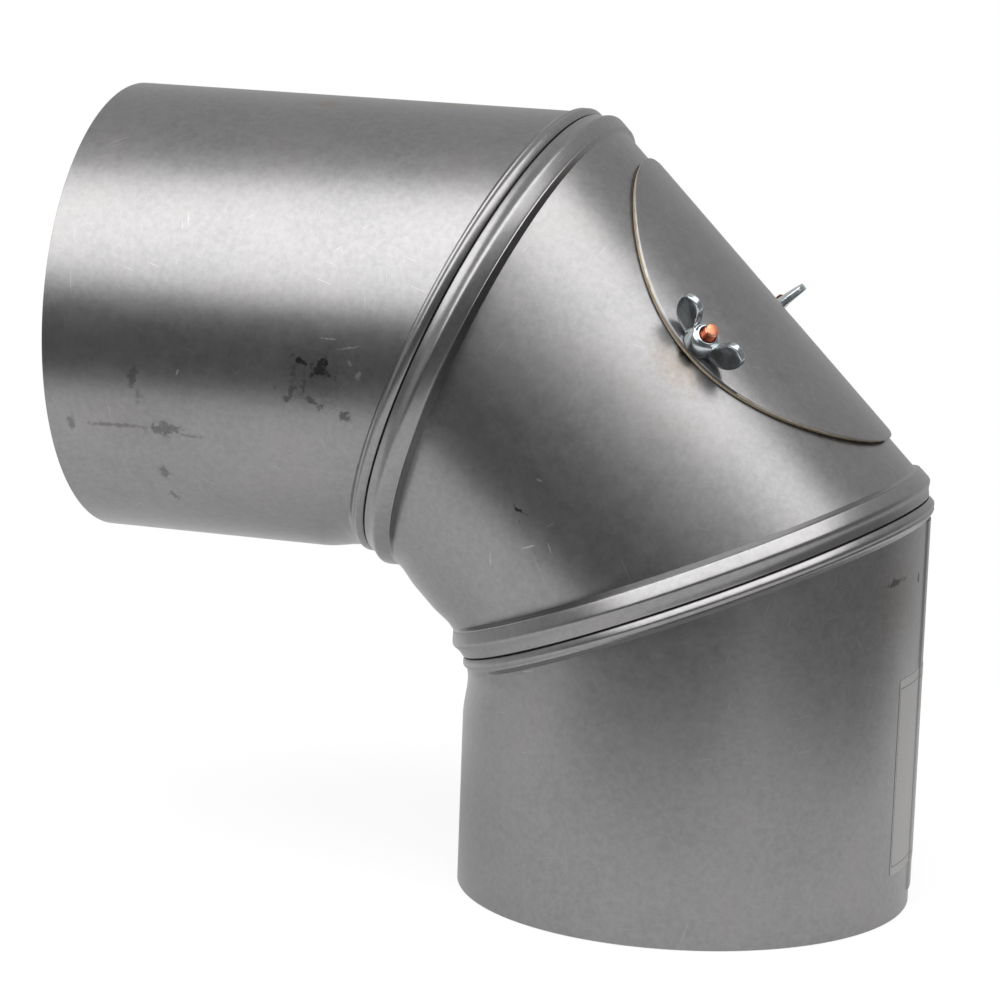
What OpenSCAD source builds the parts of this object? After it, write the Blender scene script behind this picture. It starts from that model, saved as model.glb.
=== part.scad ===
// Swivelling three-piece stovepipe elbow with a cleaning hatch.
// The lower pipe stands on the origin with its open rim at z = 0 and its axis on +Z.
// The elbow bends in the XZ plane, so the upper pipe points to -X and +X is the outer side of the bend.

/* [Pipe] */
// Outer diameter of the pipe
pipe_d = 150; // [140:1:200]
// Thickness of the sheet steel
sheet_t = 0.6; // [0.5:0.1:0.8]
// Whole bend of the elbow, shared equally by the two seams
bend_angle = 90; // [80:1:90]
// Length of the round end of each pipe that the next pipe plugs into
socket_len = 50; // [30:1:51]
// Length of the lower pipe along the inner side of the bend
lower_inner_len = 77.5; // [77:0.5:300]
// Length of the middle segment along the inner side of the bend
middle_inner_len = 38; // [37:0.5:120]
// Length of the upper pipe along the inner side of the bend
upper_inner_len = 100; // [77:0.5:300]

/* [Lap seam of the pipes] */
// Width of the strip where the rolled sheet laps over itself
lap_w = 12; // [8:0.5:20]
// Distance from the open rim to the end of the upper layer of the lap
lap_rim_gap = 6; // [4:0.5:12]
// Angle of the lap's first edge on the lower pipe, from the outer side of the bend towards the back
lower_lap_angle = 4.6; // [0:0.1:60]
// Angle of the lap's first edge on the upper pipe, from the outer side of the bend towards the back
upper_lap_angle = 86; // [40:1:130]

/* [Swivel seams] */
// How far the seam ring is wider than a circle of the same girth as the mitred pipe
seam_swell = 2.4; // [2:0.1:4]
// How far the seam ring is set towards the inner side of the bend
seam_shift = 1.5; // [0:0.1:2]
// Distance of the open gap from the mitre plane, towards the end pipe
gap_offset = 2.6; // [2:0.1:4]
// Clearance between the hidden collar and the bead that wraps over it
swivel_clearance = 0.35; // [0.2:0.05:0.6]
// Width of the large bead on the middle segment
large_bead_w = 9.3; // [8.5:0.1:11]
// Height of the large bead above its foot
large_bead_h = 1.8; // [1.5:0.1:2.5]
// Width of the small bead on each end pipe
small_bead_w = 4.6; // [4.4:0.1:6]
// Height of the small bead above its foot
small_bead_h = 0.9; // [0.6:0.1:1.5]
// How far the seam foot stands above the edge of the gap
foot_rise = 0.5; // [0.3:0.1:1]
// Length over which an end pipe necks in to its round bead, where the tube is the wider one
pipe_blend = 14; // [10:0.5:20]
// Length over which the middle segment necks in to its round bead, where the tube is the wider one
middle_blend = 9; // [7:0.5:9]
// Length over which an end pipe steps out to its round bead, where the bead is the wider one
pipe_step = 2; // [1.5:0.1:4]
// Length over which the middle segment steps out to its round bead, where the bead is the wider one
middle_step = 1; // [0.8:0.1:3]

/* [Hatch] */
// Length of the lid along the middle segment
lid_len = 120; // [90:1:122]
// Width of the lid, straight across
lid_w = 101.2; // [84:0.2:104]
// Turn of the hatch round the pipe, from the outer side of the bend towards the back
hatch_turn = 3; // [-5:0.5:5]
// Thickness of the lid
lid_t = 0.6; // [0.5:0.1:0.8]
// How far the lid and its seal reach past the opening
lid_overlap = 12; // [10:0.5:14]
// Thickness of the seal under the lid
seal_t = 0.9; // [0.6:0.1:1.5]
// How far the lid reaches past the seal
seal_inset = 0.5; // [0.4:0.1:1.5]
// Gap between the seal and the pipe
seal_gap = 0.25; // [0.2:0.05:0.4]

/* [Studs and wing nuts] */
// Diameter of the weld studs
stud_d = 4.9; // [4:0.1:5.2]
// Length of the weld studs from the surface of the pipe
stud_len = 12.5; // [11:0.5:16]
// Distance of each stud's axis from the side edge of the lid, along the surface
stud_inset = 4.2; // [4:0.1:4.6]
// Width of the welding flange at the foot of each stud
stud_flange_d = 6.4; // [6:0.1:6.8]
// Clearance round a stud in the lid's notch
notch_clearance = 0.75; // [0.6:0.05:1]
// Clearance between stud and nut, on the radius
nut_clearance = 0.07; // [0.03:0.01:0.1]
// Gap between the nut and the lid below it
nut_seat_gap = 0.25; // [0.2:0.05:0.5]
// Diameter of the nut's hub where it meets the lid
hub_d = 10.4; // [9.5:0.1:12]
// Diameter of the nut's hub at its top
hub_top_d = 7.8; // [7.4:0.1:9]
// Height of the nut's hub
hub_h = 6.8; // [5.5:0.1:8]
// Span of the nut over both wings
wing_span = 28.6; // [26:0.2:32]
// Height of the wing tips above the foot of the hub
wing_h = 13.8; // [12.5:0.1:16]
// Diameter of each rounded wing
wing_d = 10.8; // [9:0.1:11.4]
// Thickness of the wings
wing_t = 2.2; // [1.8:0.1:2.6]
// Turn of the front nut's wings from the length of the pipe
front_nut_turn = 0; // [-90:1:90]
// Turn of the rear nut's wings from the length of the pipe
rear_nut_turn = -82; // [-90:1:90]

/* [Hidden] */

// Smoothness of the round tubes
$fn = 144;

pipe_r = pipe_d / 2;
// Tilt of each seam from square across the pipe
seam_tilt = bend_angle / 4;
// Length from the inner side of the bend to the pipe's axis, at one seam
mitre_len = pipe_r * tan(seam_tilt);
// Lengths of the pieces along their axes, up to the mitre planes
lower_len = lower_inner_len + mitre_len;
middle_len = middle_inner_len + 2 * mitre_len;
upper_len = upper_inner_len + mitre_len;

// Middle of the middle segment and middle of the upper pipe's open rim
middle_dir = [-sin(bend_angle / 2), 0, cos(bend_angle / 2)];
upper_dir = [-sin(bend_angle), 0, cos(bend_angle)];
middle_centre = [0, 0, lower_len] + middle_dir * middle_len / 2;
upper_rim = [0, 0, lower_len] + middle_dir * middle_len + upper_dir * upper_len;

// Radii of the seam: edge of the gap, foot of the beads, hidden collar and its flange
gap_r = pipe_r * (1 + 1 / cos(seam_tilt)) / 2 + seam_swell;
foot_r = gap_r + foot_rise;
lip_r = foot_r - 0.1;
collar_r = lip_r - sheet_t - swivel_clearance;
crest_r = foot_r + large_bead_h;
flange_r = crest_r - sheet_t - 2 * swivel_clearance;
// Places along the seam's axis: open gap, the large bead's crest, crease, crown and lip,
// the small bead's foot and crest, and the hidden flange
gap_w = 0.5;
large_crest_w = 0.6 * large_bead_w;
large_crease_w = large_bead_w - 0.3;
crown_end_w = 0.3 * large_bead_w;
lip_w = 0.22 * large_bead_w;
lip_flare = 0.25;
small_foot_w = 0.88 * small_bead_w;
small_crest_w = gap_w + 0.3;
flange_w = large_crest_w + 0.4;
flange_len = 0.8;
flange_bend = 1.6;
// Share of the large bead's height that its crown loses towards the lip
crown_fall = 0.35;
// Steps along each curved stretch of a bead
bead_step = 0.15;
// Distance between the upper layer of the lap and the step of the bead
lap_seam_gap = 0.5;

// Blended shells: corners round the seam and how far their ends sit inside their neighbours
blend_steps = 64;
tuck = 0.8;
tuck_inset = 0.2 * sheet_t;

// Hatch
lid_in_r = pipe_r + seal_gap + seal_t + 0.05;
lid_out_r = lid_in_r + lid_t;
opening_len = lid_len - 2 * lid_overlap;
opening_w = lid_w - 2 * lid_overlap;
oval_steps = 72;
stud_angle = asin(lid_w / 2 / lid_out_r) - stud_inset / lid_out_r * 180 / PI;
// Across the pipe, a notch is wider than the stud because the stud leans
notch_r = stud_d / 2 + notch_clearance;
notch_lean = stud_d / 2 * (1 / cos(stud_angle) - 1);
stud_flange_h = 0.8;
stud_chamfer = 0.5;

// Wing nut
wing_r = wing_d / 2;
wing_x = wing_span / 2 - wing_r;
wing_y = wing_h - wing_r;
bore_r = stud_d / 2 + nut_clearance;
hub_round = 0.15 * hub_h;
hub_edge = 0.04 * hub_d;
hub_wall_h = 0.2 * hub_h;
hub_top_flat = 0.1 * hub_top_d;
countersink = 0.12 * stud_d;
// Where a wing's root starts inside the hub and how far its neck runs along the hub's foot and top
wing_root_x = bore_r + 0.15 * stud_d;
wing_root_h = 0.82 * hub_h;
wing_foot_x = 0.6 * hub_d;
// Places where a wing's neck meets the round wing, as angles from the outward direction
neck_low_angle = -30;
neck_high_angle = 160;

// Places an end pipe, whose open rim is at the origin, at the seam frame of its ring
module seam_frame(len, offset) {
    translate([0, 0, len])
        rotate([0, -seam_tilt, 0])
        translate([-seam_shift, 0, offset])
        children();
}

// Mean of two values
function mix(a, b, k) = a + (b - a) * k;

// Unit vector square to a path's step, pointing to the left of it
function left_of(p, q) = [p[1] - q[1], q[0] - p[0]] / norm(q - p);

// Path moved sideways by d, with mitred corners
function moved_path(path, d) = [
    for (i = [0 : len(path) - 1])
        let (
            before = left_of(path[max(i - 1, 0)], path[max(i, 1)]),
            after = left_of(path[min(i, len(path) - 2)], path[min(i + 1, len(path) - 1)]),
            middle = (before + after) / norm(before + after)
        )
        path[i] + middle * d / (middle * before)
];

// Ring of bent sheet whose outer side follows the path of [radius, height] points, going up
module bent_ring(path) {
    inside = moved_path(path, sheet_t);
    rotate_extrude()
        polygon(concat(path, [for (i = [len(inside) - 1 : -1 : 0]) inside[i]]));
}

// Large bead of the middle segment, open towards +Z where it wraps over the collar
function large_bead_path() = concat(
    [[foot_r, -large_bead_w]],
    [for (k = [0.1 : bead_step : 1])
        [mix(foot_r, crest_r, (1 - cos(180 * k)) / 2), mix(-large_crease_w, -large_crest_w, k)]],
    [for (k = [0.1 : bead_step : 1])
        [crest_r - crown_fall * large_bead_h * k * k, mix(-large_crest_w, -crown_end_w, k)]],
    [[lip_r + lip_flare, -lip_w], [lip_r, 0]]
);

// Small bead of an end pipe, then the hidden collar and its flange inside the large bead
function small_bead_path() = concat(
    [[foot_r, -small_bead_w], [foot_r, -small_foot_w]],
    [for (k = [bead_step : bead_step : 1])
        [foot_r + small_bead_h * sin(135 * k), mix(-small_foot_w, -small_crest_w, k)]],
    [[collar_r + lip_flare, -gap_w], [collar_r, 0]],
    [for (k = [0 : 0.25 : 1])
        [mix(collar_r, flange_r, (1 - cos(180 * k)) / 2),
            flange_w - flange_len - flange_bend * (1 - k)]],
    [[flange_r, flange_w]]
);

// Share of the round ring in a blended outline at distance d from the bead's foot;
// rise is how far the ring stands out from the tube
function ring_share(d, blend, step, rise) =
    rise > 0 ? max(0, 1 - d / step) : pow(max(0, 1 - d / blend), 2);

// How far the inner side of a step lies nearer to the seam than its outer side
function step_shift(d, step, rise, inset) =
    rise > 0 && d <= step ? inset * tan(atan(rise / step) / 2) : 0;

// Outline parallel to the seam at distance d from the bead's foot, in the seam's frame, thinned by inset
function tilted_outline(d, blend, step, foot_w, offset, inset) = [
    for (i = [0 : blend_steps - 1])
        let (
            a = 360 * i / blend_steps,
            near = max(0, min(d, blend)),
            axis_x = seam_shift - (foot_w + d - offset) * tan(seam_tilt),
            tube = [axis_x + (pipe_r - inset) / cos(seam_tilt) * cos(a), (pipe_r - inset) * sin(a)],
            ring = (foot_r - inset) * [cos(a), sin(a)],
            rise = norm(ring) - norm(tube),
            p = mix(tube, ring, ring_share(near, blend, step, rise))
        )
        [p[0], p[1], -foot_w - d + step_shift(d, step, rise, inset)]
];

// Round outline of the tube at distance z from the mitre point, in the seam's frame, thinned by inset
function level_outline(z, offset, inset) = [
    for (i = [0 : blend_steps - 1])
        let (a = 360 * i / blend_steps, x = (pipe_r - inset) * cos(a))
        [
            x * cos(seam_tilt) + z * sin(seam_tilt) + seam_shift,
            (pipe_r - inset) * sin(a),
            -x * sin(seam_tilt) + z * cos(seam_tilt) - offset
        ]
];

// Distances from the bead's foot at which a blended shell has an outline
function blend_places(blend, step) = [-tuck, 0.02, 0.5 * step, step,
    mix(step, blend, 0.15), mix(step, blend, 0.35), mix(step, blend, 0.6), mix(step, blend, 0.8)];

// Closed shell between two stacks of outlines with the same number of corners, going down
module lofted_shell(outer, inner) {
    n = blend_steps;
    last = len(outer) - 1;
    total = n * (last + 1);
    side = [for (r = [0 : last - 1], i = [0 : n - 1])
        let (a = r * n + i, b = r * n + (i + 1) % n)
        each [[a, b, a + n], [b, b + n, a + n]]];
    lining = [for (f = side) [f[0] + total, f[2] + total, f[1] + total]];
    top = [for (i = [0 : n - 1])
        let (a = i, b = (i + 1) % n)
        each [[a, a + total, b], [b, a + total, b + total]]];
    bottom = [for (i = [0 : n - 1])
        let (a = last * n + i, b = last * n + (i + 1) % n)
        each [[a, b, a + total], [b, b + total, a + total]]];
    points = concat([for (ring = outer) each ring], [for (ring = inner) each ring]);
    polyhedron(points = points, faces = concat(side, lining, top, bottom));
}

// Thinning of outline i out of n, whose two ends are tucked into the neighbouring walls
function tucked(i, n) = i < 2 || i > n - 3 ? tuck_inset : 0;

// Shell of an end pipe, from the round foot of its bead down to its round end
module pipe_shell(len) {
    offset = -gap_offset;
    places = concat(blend_places(pipe_blend, pipe_step), [pipe_blend]);
    levels = [0.3, 0.02, -tuck];
    n = len(places) + len(levels);
    function outline(i, inset) = i < len(places)
        ? tilted_outline(places[i], pipe_blend, pipe_step, small_bead_w, offset, inset)
        : level_outline(socket_len - len + levels[i - len(places)], offset, inset);
    lofted_shell(
        [for (i = [0 : n - 1]) outline(i, tucked(i, n))],
        [for (i = [0 : n - 1]) outline(i, sheet_t - tucked(i, n))]
    );
}

// Shell of the middle segment, from the round foot of a bead into the oval cut of its tube
module middle_shell() {
    places = concat(blend_places(middle_blend, middle_step), [middle_blend - 0.02, middle_blend + tuck]);
    n = len(places);
    function outline(i, inset) =
        tilted_outline(places[i], middle_blend, middle_step, large_bead_w, gap_offset, inset);
    lofted_shell(
        [for (i = [0 : n - 1]) outline(i, tucked(i, n))],
        [for (i = [0 : n - 1]) outline(i, sheet_t - tucked(i, n))]
    );
}

// Everything beyond the plane at distance d below the gap, in the seam's frame
module beyond(d) {
    translate([-2 * pipe_r, -2 * pipe_r, -d])
        cube([4 * pipe_r, 4 * pipe_r, 4 * pipe_r]);
}

// Plain tube from z = 0 upwards
module tube(len) {
    difference() {
        cylinder(r = pipe_r, h = len);
        translate([0, 0, -1])
            cylinder(r = pipe_r - sheet_t, h = len + 2);
    }
}

// Upper layer of the lapped sheet, from the given angle round towards +Y
module lap_strip(len, angle) {
    lap_angle = lap_w / pipe_r * 180 / PI;
    rotate([0, 0, angle])
        translate([0, 0, lap_rim_gap])
        rotate_extrude(angle = lap_angle)
        translate([pipe_r - 0.4 * sheet_t, 0])
        square([1.4 * sheet_t, len]);
}

// End pipe with its open rim at z = 0 and its seam ring at the top, long side of the mitre on +X
module end_pipe(len, lap_angle) {
    tube(socket_len);
    difference() {
        lap_strip(len + 2 * mitre_len, lap_angle);
        seam_frame(len, -gap_offset) beyond(small_bead_w + pipe_step + lap_seam_gap);
    }
    seam_frame(len, -gap_offset) {
        pipe_shell(len);
        bent_ring(small_bead_path());
    }
}

// Oval prism through the outer side of the middle segment, len along Z and w along Y
module oval_prism(len, w) {
    outline = [for (i = [0 : oval_steps - 1])
        let (a = 360 * i / oval_steps)
        [-len / 2 * cos(a), w / 2 * sin(a)]];
    rotate([0, 90, 0])
        translate([0, 0, pipe_r / 2])
        linear_extrude(height = pipe_r)
        polygon(outline);
}

// Puts children at both ends of the middle segment, in the frames of its two seams
module both_seams() {
    for (turn = [0, 180])
        rotate([turn, 0, 0])
        seam_frame(middle_len / 2, gap_offset)
        children();
}

// Frame of the middle segment: +Z along its axis, +X to the outer side of the bend
module middle_frame() {
    translate(middle_centre)
        rotate([0, -bend_angle / 2, 0])
        children();
}

// Frame of the hatch: +Z along the middle segment's axis, +X through the middle of the lid
module hatch_frame() {
    middle_frame()
        rotate([0, 0, hatch_turn])
        children();
}

module lower_pipe() {
    color("#8f8e8b") end_pipe(lower_len, lower_lap_angle);
}

module upper_pipe() {
    color("#9b9a97")
        translate(upper_rim)
        rotate([0, -bend_angle, 0])
        rotate([180, 0, 0])
        end_pipe(upper_len, -upper_lap_angle - lap_w / pipe_r * 180 / PI);
}

module middle_segment() {
    color("#94938f") middle_frame() {
        difference() {
            translate([0, 0, -middle_len / 2 - 2 * mitre_len])
                tube(middle_len + 4 * mitre_len);
            both_seams() beyond(large_bead_w + middle_blend);
            rotate([0, 0, hatch_turn])
                oval_prism(opening_len, opening_w);
        }
        both_seams() {
            middle_shell();
            bent_ring(large_bead_path());
        }
    }
}

// Slots, open to the side, that clear the studs; r is half their width
module stud_notches(r) {
    for (s = [-1, 1])
        translate([0, s * (lid_out_r * sin(stud_angle) - notch_lean), 0])
        rotate([0, 90, 0]) {
            cylinder(r = r, h = 2 * pipe_r);
            translate([-r, s > 0 ? 0 : -lid_w, 0])
                cube([2 * r, lid_w, 2 * pipe_r]);
        }
}

// Curved sheet of the given radii, cut to an oval
module curved_oval(in_r, out_r, len, w) {
    intersection() {
        difference() {
            translate([0, 0, -len]) cylinder(r = out_r, h = 2 * len);
            translate([0, 0, -len - 1]) cylinder(r = in_r, h = 2 * len + 2);
        }
        oval_prism(len, w);
    }
}

module hatch_lid() {
    color("#8b8a87") hatch_frame() difference() {
        curved_oval(lid_in_r, lid_out_r, lid_len, lid_w);
        stud_notches(notch_r);
    }
}

module hatch_seal() {
    seal_in_r = pipe_r + seal_gap;
    color("#5b4632") hatch_frame() difference() {
        curved_oval(seal_in_r, seal_in_r + seal_t, lid_len - 2 * seal_inset, lid_w - 2 * seal_inset);
        oval_prism(opening_len + 2 * seal_inset, opening_w + 2 * seal_inset);
        stud_notches(stud_flange_d / 2 + notch_clearance);
    }
}

// Puts children on the surface of the pipe at a stud, +Z away from the pipe and +X along its axis
module stud_frame(side) {
    hatch_frame()
        rotate([0, 0, side * stud_angle])
        translate([pipe_r, 0, 0])
        rotate([0, 90, 0])
        rotate([0, 0, 180])
        children();
}

// Weld stud with its flange, shaped underneath to the pipe
module weld_stud(side) {
    difference() {
        stud_frame(side) {
            translate([0, 0, -stud_chamfer])
                cylinder(d = stud_d, h = stud_len, $fn = 48);
            translate([0, 0, -stud_chamfer])
                cylinder(d = stud_flange_d, h = stud_flange_h + stud_chamfer, $fn = 48);
            translate([0, 0, stud_len - stud_chamfer])
                cylinder(d1 = stud_d, d2 = stud_d - 2 * stud_chamfer, h = stud_chamfer, $fn = 48);
        }
        middle_frame()
            translate([0, 0, -lid_len / 2])
            cylinder(r = pipe_r, h = lid_len);
    }
}

module front_stud() {
    color("#b5683f") weld_stud(-1);
}

module rear_stud() {
    color("#b5683f") weld_stud(1);
}

// Half outline of the hub, from the lower inside edge out, up and over into the countersunk bore
function hub_outline() = concat(
    [[bore_r, 0], [hub_d / 2 - hub_edge, 0], [hub_d / 2, hub_edge], [hub_d / 2, hub_wall_h]],
    [for (a = [15 : 15 : 90])
        [mix(hub_top_d, hub_d, cos(a)) / 2, mix(hub_wall_h, hub_h - hub_round, sin(a))]],
    [[(hub_top_d - countersink) / 2, hub_h - countersink / 2], [hub_top_d / 2 - hub_top_flat, hub_h],
     [bore_r + countersink, hub_h], [bore_r, hub_h - countersink]]
);

// Point on the edge of a round wing, at the given angle from the outward direction
function on_wing(a) = [wing_x, wing_y] + wing_r * [cos(a), sin(a)];

// Rounded wing with a neck that runs down into the hub
module wing_plate() {
    rotate([90, 0, 0])
        linear_extrude(height = wing_t, center = true) {
            translate([wing_x, wing_y])
                circle(r = wing_r, $fn = 64);
            polygon([
                [wing_root_x, hub_wall_h],
                [wing_foot_x, hub_wall_h],
                on_wing(neck_low_angle),
                [wing_x, wing_y],
                on_wing(neck_high_angle),
                [hub_top_d / 2, wing_root_h],
                [wing_root_x, wing_root_h]
            ]);
        }
}

module wing_nut(side, turn) {
    stud_frame(side)
        translate([0, 0, lid_out_r - pipe_r + nut_seat_gap])
        rotate([0, 0, turn]) {
            rotate_extrude($fn = 96) polygon(hub_outline());
            for (half = [0, 180])
                rotate([0, 0, half]) wing_plate();
        }
}

module front_wing_nut() {
    color("#b9bdc0") wing_nut(-1, front_nut_turn);
}

module rear_wing_nut() {
    color("#b9bdc0") wing_nut(1, rear_nut_turn);
}

lower_pipe();
middle_segment();
upper_pipe();
hatch_lid();
hatch_seal();
front_stud();
rear_stud();
front_wing_nut();
rear_wing_nut();
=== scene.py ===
import math

import bpy
import numpy as np
from mathutils import Matrix, Vector


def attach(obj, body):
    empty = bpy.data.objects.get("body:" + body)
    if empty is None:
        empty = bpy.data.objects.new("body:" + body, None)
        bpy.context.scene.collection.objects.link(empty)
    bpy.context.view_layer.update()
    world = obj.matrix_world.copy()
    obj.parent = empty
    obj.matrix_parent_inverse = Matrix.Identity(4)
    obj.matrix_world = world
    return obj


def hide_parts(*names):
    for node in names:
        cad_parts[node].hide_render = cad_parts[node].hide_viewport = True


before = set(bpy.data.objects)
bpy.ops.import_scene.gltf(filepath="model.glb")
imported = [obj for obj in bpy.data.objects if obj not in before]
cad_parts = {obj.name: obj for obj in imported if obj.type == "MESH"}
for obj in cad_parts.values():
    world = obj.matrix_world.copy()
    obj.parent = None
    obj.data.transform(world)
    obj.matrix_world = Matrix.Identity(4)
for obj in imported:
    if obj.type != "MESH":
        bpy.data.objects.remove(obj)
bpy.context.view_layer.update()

# Sizes are in millimetres, as in the CAD, and meshes are made in metres
MM = 0.001

# Pipes
PIPE_R = 75.0
SHEET_T = 0.6
LOWER_INNER_LEN = 77.5
MIDDLE_INNER_LEN = 38.0
UPPER_INNER_LEN = 100.0
LAP_W = 12.0
LAP_TAPER = 7.0
LAP_RIM_GAP = 6.0
LOWER_LAP_ANGLE = 4.6
UPPER_LAP_ANGLE = -86.0 - math.degrees(LAP_W / PIPE_R)

# Swivel seams
BEND = math.radians(90)
SEAM_TILT = BEND / 4
SEAM_SHIFT = 1.5
SEAM_SWELL = 2.4
GAP_OFFSET = 2.6
GAP_W = 0.5
GAP_R = PIPE_R * (1 + 1 / math.cos(SEAM_TILT)) / 2 + SEAM_SWELL
FOOT_R = GAP_R + 0.5
LIP_R = FOOT_R - 0.1
COLLAR_R = LIP_R - SHEET_T - 0.35
LARGE_BEAD_W = 9.3
LARGE_BEAD_H = 1.8
SMALL_BEAD_W = 4.6
SMALL_BEAD_H = 0.9
CREST_R = FOOT_R + LARGE_BEAD_H
FLANGE_R = CREST_R - SHEET_T - 0.7
PIPE_BLEND = 14.0
MIDDLE_BLEND = 9.0
PIPE_STEP = 2.0
MIDDLE_STEP = 1.0
RISE_SPAN = 3.0
BEAD_ROUNDING = 0.49

# Hatch
HATCH_TURN = math.radians(3)
LID_LEN = 120.0
LID_W = 101.2
LID_T = 0.6
LID_OVERLAP = 12.0
SEAL_T = 0.9
SEAL_INSET = 0.5
SEAL_GAP = 0.25
LID_IN_R = PIPE_R + SEAL_GAP + SEAL_T + 0.05
LID_OUT_R = LID_IN_R + LID_T
NOTCH_R = 3.2

# Studs and wing nuts
STUD_D = 4.9
STUD_TIP = 12.3
STUD_INSET = 4.2
STUD_FLANGE_D = 6.4
STUD_FLANGE_H = 0.8
THREAD_PITCH = 0.8
THREAD_DEPTH = 0.32
STUD_ANGLE = math.asin(LID_W / 2 / LID_OUT_R) - STUD_INSET / LID_OUT_R
NUT_SEAT = LID_OUT_R - PIPE_R + 0.25
NUT_BORE_R = 2.52
HUB_D = 10.4
HUB_TOP_D = 7.8
HUB_H = 6.8
FRONT_NUT_TURN = 0
REAR_NUT_TURN = -82

# Blank sticker on the lower pipe; its left, right and lap step are degrees round the pipe
LABEL_LOW = 15.6
LABEL_HIGH = 81.0
LABEL_LEFT = -12.0
LABEL_RIGHT = 11.5
LABEL_CORNER = 1.6
LABEL_RISE = 0.03
LABEL_T = 0.1
LAP_STEP = 0.5

# Places of the pieces, worked out along the bend
MITRE_LEN = PIPE_R * math.tan(SEAM_TILT)
LOWER_LEN = LOWER_INNER_LEN + MITRE_LEN
MIDDLE_LEN = MIDDLE_INNER_LEN + 2 * MITRE_LEN
UPPER_LEN = UPPER_INNER_LEN + MITRE_LEN
MIDDLE_DIR = Vector((-math.sin(BEND / 2), 0, math.cos(BEND / 2)))
MIDDLE_CENTRE = Vector((0, 0, LOWER_LEN)) + MIDDLE_DIR * MIDDLE_LEN / 2
UPPER_RIM = Vector((-UPPER_LEN, 0, LOWER_LEN)) + MIDDLE_DIR * MIDDLE_LEN

LOWER_PLACE = Matrix.Identity(4)
MIDDLE_PLACE = Matrix.Translation(MIDDLE_CENTRE) @ Matrix.Rotation(-BEND / 2, 4, "Y")
HATCH_PLACE = MIDDLE_PLACE @ Matrix.Rotation(HATCH_TURN, 4, "Z")
UPPER_PLACE = (
    Matrix.Translation(UPPER_RIM)
    @ Matrix.Rotation(-BEND, 4, "Y")
    @ Matrix.Rotation(math.pi, 4, "X")
)

# Corners round each ring
RING_STEPS = 288
ANGLES = np.linspace(0, 2 * math.pi, RING_STEPS, endpoint=False)


# Small helpers for points and meshes

def mix(a, b, k):
    """What lies at share k of the way from a to b."""
    return a + (b - a) * k


def smooth(k):
    """Share k, from 0 to 1, eased at both ends."""
    return k * k * (3 - 2 * k)


def moved(points, matrix):
    """Points of an (n, 3) array after a 4x4 matrix."""
    m = np.array(matrix)
    return points @ m[:3, :3].T + m[:3, 3]


def level_ring(z, r, angles=ANGLES):
    """Points round the pipe's axis at height z, in the pipe's own frame."""
    return np.stack([r * np.cos(angles), r * np.sin(angles), np.full_like(angles, z)], 1)


def left_of(p, q):
    """Unit vector to the left of the way from p to q."""
    step = (q - p) / np.linalg.norm(q - p)
    return np.array([-step[1], step[0]])


def offset_path(path, d):
    """Path of [radius, height] points moved to its left by d, with mitred corners."""
    found = []
    last = len(path) - 1
    for i, p in enumerate(path):
        before = left_of(path[max(i - 1, 0)], path[max(i, 1)])
        after = left_of(path[min(i, last - 1)], path[min(i + 1, last)])
        middle = (before + after) / np.linalg.norm(before + after)
        found.append(p + middle * d / (middle @ before))
    return np.array(found)


def ring_faces(rows, steps, close_rows):
    """Quads between rings of steps points each; close_rows joins the last ring to the first."""
    faces = []
    for row in range(rows if close_rows else rows - 1):
        here, there = row * steps, (row + 1) % rows * steps
        for i in range(steps):
            j = (i + 1) % steps
            faces.append((here + i, here + j, there + j, there + i))
    return faces


def capped_faces(rows, steps):
    """Quads between open rings of steps points each, and a flat face over the first and the last."""
    last = steps * (rows - 1)
    caps = [tuple(range(steps))[::-1], tuple(range(last, last + steps))]
    return ring_faces(rows, steps, False) + caps


def prism_faces(base, n):
    """Walls, low end and high end of a prism whose two outlines of n points start at point base."""
    walls = [(base + i, base + (i + 1) % n, base + n + (i + 1) % n, base + n + i) for i in range(n)]
    low = tuple(range(base, base + n))
    high = tuple(range(base + n, base + 2 * n))
    return walls, low[::-1], high


def new_piece(name, points, faces, place=LOWER_PLACE, sharp=35):
    """Mesh object from points in millimetres in the frame given by place."""
    mesh = bpy.data.meshes.new(name)
    mesh.from_pydata((moved(np.array(points, float), place) * MM).tolist(), [], faces)
    mesh.validate()
    mesh.shade_smooth()
    mesh.set_sharp_from_angle(angle=math.radians(sharp))
    piece = bpy.data.objects.new(name, mesh)
    bpy.context.scene.collection.objects.link(piece)
    return piece


def bake_modifiers(piece):
    """Replaces the piece's mesh by what its modifiers make of it."""
    bpy.context.view_layer.update()
    graph = bpy.context.evaluated_depsgraph_get()
    mesh = bpy.data.meshes.new_from_object(piece.evaluated_get(graph))
    piece.modifiers.clear()
    piece.data = mesh


def cut(piece, cutter):
    """Takes the cutter's solid out of the piece."""
    tool = piece.modifiers.new("cut", "BOOLEAN")
    tool.operation = "DIFFERENCE"
    tool.solver = "EXACT"
    tool.object = cutter
    bake_modifiers(piece)
    bpy.data.objects.remove(cutter)
    return piece


def finish_piece(piece, body, slot, material, *nodes):
    """Gives the piece its material and its CAD body, and hides the CAD nodes that it stands for."""
    if material:
        piece.data.materials.clear()
        piece.data.materials.append(material)
    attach(piece, body)
    if nodes:
        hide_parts(*nodes)


# Pipes with their swivel seams

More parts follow.
